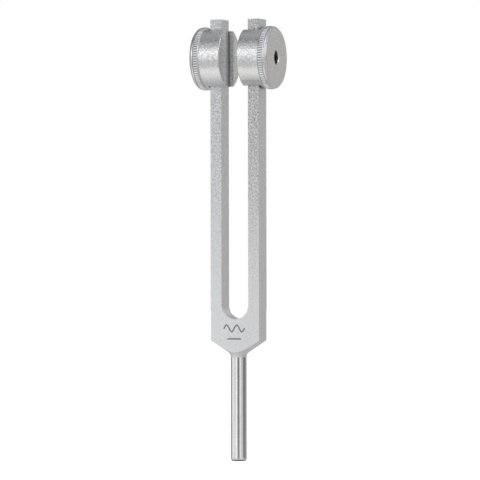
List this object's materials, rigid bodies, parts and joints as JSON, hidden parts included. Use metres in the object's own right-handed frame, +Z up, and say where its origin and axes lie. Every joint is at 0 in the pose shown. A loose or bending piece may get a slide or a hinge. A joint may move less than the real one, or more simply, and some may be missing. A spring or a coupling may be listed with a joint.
{
  "type": "tuning fork",
  "caption": "Weighted tuning fork: slotted bar with straight tines, a coned yoke, a round stem and removable round weights held near the tips by knurled thumbscrews.",
  "frame": {"origin": "centre of the flat foot of the stem", "axes": "+Z up the stem to the tips of the tines, +X across the tines to the right one, -Y out of the marked front face of the yoke"},
  "size_m": [0.0396, 0.0304, 0.2118],
  "materials": {
    "fork_aluminium": "bead-blasted, fine matt grain; the stem is turned smooth",
    "weight_aluminium": "turned and lightly blasted, satin",
    "knurled_aluminium": "turned, straight-knurled band, satin face",
    "black_oxide_steel": "black oxide, dull",
    "fibre_washer": "pressed fibre, matt"
  },
  "bodies": {
    "fork_body": {"fork": "fork_aluminium"},
    "right_weight_unit": {"right_weight": "weight_aluminium", "right_washer": "fibre_washer"},
    "right_thumbscrew": {"right_knurled_head": "knurled_aluminium", "right_set_screw": "black_oxide_steel"},
    "left_weight_unit": {"left_weight": "weight_aluminium", "left_washer": "fibre_washer"},
    "left_thumbscrew": {"left_knurled_head": "knurled_aluminium", "left_set_screw": "black_oxide_steel"}
  },
  "joints": [
    {"name": "right_weight_release", "type": "slide", "parent": "fork_body", "child": "right_weight_unit", "axis": [1, 0, 0], "range_m": [0, 0.008]},
    {"name": "right_thumbscrew_turn", "type": "hinge", "parent": "right_weight_unit", "child": "right_thumbscrew", "pos_m": [0.0198, 0, 0.1932], "axis": [1, 0, 0], "range_deg": [0, 2880]},
    {"name": "left_weight_release", "type": "slide", "parent": "fork_body", "child": "left_weight_unit", "axis": [-1, 0, 0], "range_m": [0, 0.008]},
    {"name": "left_thumbscrew_turn", "type": "hinge", "parent": "left_weight_unit", "child": "left_thumbscrew", "pos_m": [-0.0198, 0, 0.1932], "axis": [-1, 0, 0], "range_deg": [0, 2880]}
  ],
  "couplings": [
    {"joint": "right_weight_release", "follows": "right_thumbscrew_turn", "m_per_rad": 0.00015915},
    {"joint": "left_weight_release", "follows": "left_thumbscrew_turn", "m_per_rad": 0.00015915}
  ]
}
